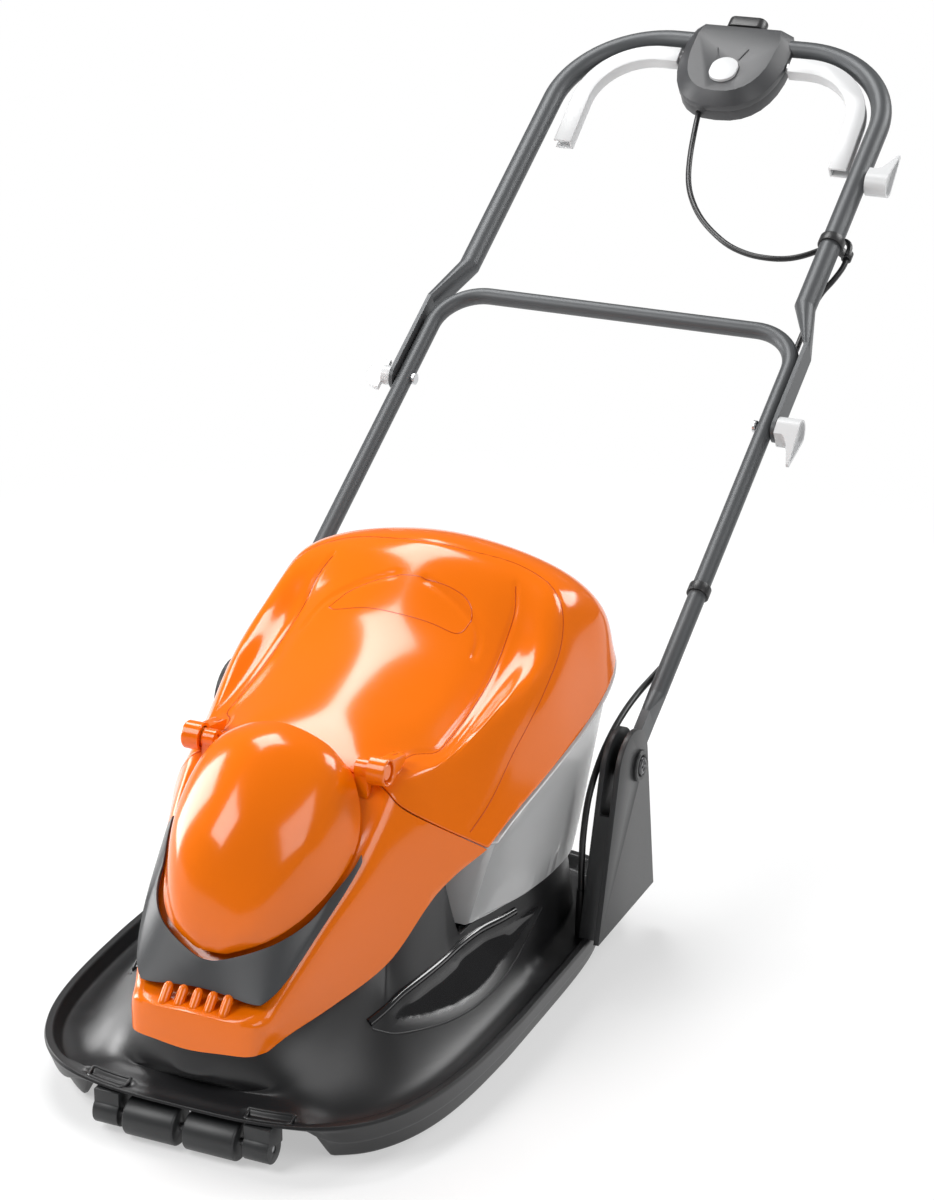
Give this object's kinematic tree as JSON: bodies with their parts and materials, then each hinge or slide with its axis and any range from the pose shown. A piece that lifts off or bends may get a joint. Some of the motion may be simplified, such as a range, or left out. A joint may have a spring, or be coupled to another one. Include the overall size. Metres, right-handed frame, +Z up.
{
  "type": "hover mower",
  "caption": "Electric hover mower with a moulded deck, hinged grass-box lid, folding two-part tubular handle, bow switch lever and belt-driven blade.",
  "frame": {"origin": "on the ground, under the axis of the blade spindle", "axes": "+Y from the nose toward the operator, +Z up"},
  "size_m": [0.4645, 1.3261, 0.6921],
  "materials": {
    "orange_plastic": "glossy moulded",
    "black_plastic": "satin moulded",
    "grey_plastic": "satin moulded",
    "smoke_plastic": "smoky translucent",
    "pale_plastic": "satin moulded",
    "tube_paint": "powder coat",
    "steel": "bright zinc",
    "laminations": "varnished",
    "rubber": "matt"
  },
  "bodies": {
    "chassis": {"deck": "black_plastic", "hood": "orange_plastic", "pod_cover": "orange_plastic", "cover_trim": "grey_plastic", "grass_box": "smoke_plastic", "lid_hinge_pins": "orange_plastic", "handle_bracket_left": "grey_plastic", "handle_bracket_right": "grey_plastic", "pivot_bolts": "steel", "pivot_nuts": "steel", "motor_plate": "black_plastic", "plate_screws": "steel", "motor_bracket": "steel", "motor_casing": "steel", "stator": "laminations", "motor_bearings": "steel", "drive_belt": "rubber", "bearing_housing": "steel", "spindle_bearings": "steel", "roller_axle": "steel", "roller_blocks": "black_plastic", "cable_gland": "black_plastic", "lead_base": "rubber"},
    "blade_set": {"spindle": "steel", "spindle_pulley": "steel", "impeller": "black_plastic", "blade_spacers": "black_plastic", "blade": "steel", "blade_bolt": "steel"},
    "motor_rotor": {"motor_shaft": "steel", "armature": "laminations", "motor_pulley": "steel"},
    "lid": {"grass_box_lid": "orange_plastic"},
    "lower_handle_body": {"lower_handle": "tube_paint", "joint_bolts": "steel", "cable_clip_lower": "black_plastic", "lead_lower": "rubber", "lead_middle": "rubber"},
    "upper_handle_body": {"upper_handle": "tube_paint", "switch_box_upper": "grey_plastic", "switch_box_lower": "grey_plastic", "cable_inlet": "black_plastic", "microswitch": "black_plastic", "switch_screws": "steel", "cable_clip_upper": "black_plastic", "lead_upper": "rubber", "lever_spring": "steel", "button_spring": "steel"},
    "lever_body": {"switch_lever": "pale_plastic"},
    "button_body": {"lock_button": "pale_plastic"},
    "knob_left_body": {"knob_left": "pale_plastic"},
    "knob_right_body": {"knob_right": "pale_plastic"},
    "hook_body": {"cable_hook": "pale_plastic"},
    "roller_left_body": {"roller_left": "black_plastic"},
    "roller_right_body": {"roller_right": "black_plastic"}
  },
  "joints": [
    {"name": "handle_base_fold", "type": "hinge", "parent": "chassis", "child": "lower_handle_body", "pos_m": [0, 0.24, 0.177], "axis": [1, 0, 0], "range_deg": [0, 90], "deforming": ["lead_base"]},
    {"name": "handle_middle_fold", "type": "hinge", "parent": "lower_handle_body", "child": "upper_handle_body", "pos_m": [0, 0.59144, 0.38817], "axis": [1, 0, 0], "range_deg": [0, 110], "deforming": ["lead_middle"]},
    {"name": "lever_squeeze", "type": "hinge", "parent": "upper_handle_body", "child": "lever_body", "pos_m": [0, 1.02345, 0.64775], "axis": [-1, 0, 0], "range_deg": [0, 12], "stiffness_Nm_per_rad": 0.8, "springref_deg": -14.32},
    {"name": "lock_button_press", "type": "slide", "parent": "upper_handle_body", "child": "button_body", "axis": [0, 0.515, -0.8572], "range_m": [0, 0.003], "stiffness_N_per_m": 400, "springref_m": -0.002, "deforming": ["button_spring"]},
    {"name": "knob_left_turn", "type": "hinge", "parent": "lower_handle_body", "child": "knob_left_body", "pos_m": [-0.214, 0.59144, 0.38817], "axis": [-1, 0, 0], "continuous": true},
    {"name": "knob_right_turn", "type": "hinge", "parent": "lower_handle_body", "child": "knob_right_body", "pos_m": [0.214, 0.59144, 0.38817], "axis": [1, 0, 0], "continuous": true},
    {"name": "cable_hook_swivel", "type": "hinge", "parent": "upper_handle_body", "child": "hook_body", "pos_m": [0.207, 0.88716, 0.56585], "axis": [1, 0, 0], "range_deg": [0, 180]},
    {"name": "lid_open", "type": "hinge", "parent": "chassis", "child": "lid", "pos_m": [0, -0.05197, 0.27104], "axis": [1, 0, 0], "range_deg": [0, 60]},
    {"name": "blade_spin", "type": "hinge", "parent": "chassis", "child": "blade_set", "pos_m": [0, 0, 0.05], "axis": [0, 0, 1], "continuous": true},
    {"name": "motor_spin", "type": "hinge", "parent": "chassis", "child": "motor_rotor", "pos_m": [0, -0.08003, 0.15], "axis": [0, 0, 1], "continuous": true},
    {"name": "roller_left_spin", "type": "hinge", "parent": "chassis", "child": "roller_left_body", "pos_m": [0, -0.238, 0.0171], "axis": [1, 0, 0], "continuous": true},
    {"name": "roller_right_spin", "type": "hinge", "parent": "chassis", "child": "roller_right_body", "pos_m": [0, -0.238, 0.0171], "axis": [1, 0, 0], "continuous": true}
  ],
  "couplings": [
    {"joint": "motor_spin", "follows": "blade_spin", "ratio": 2}
  ]
}
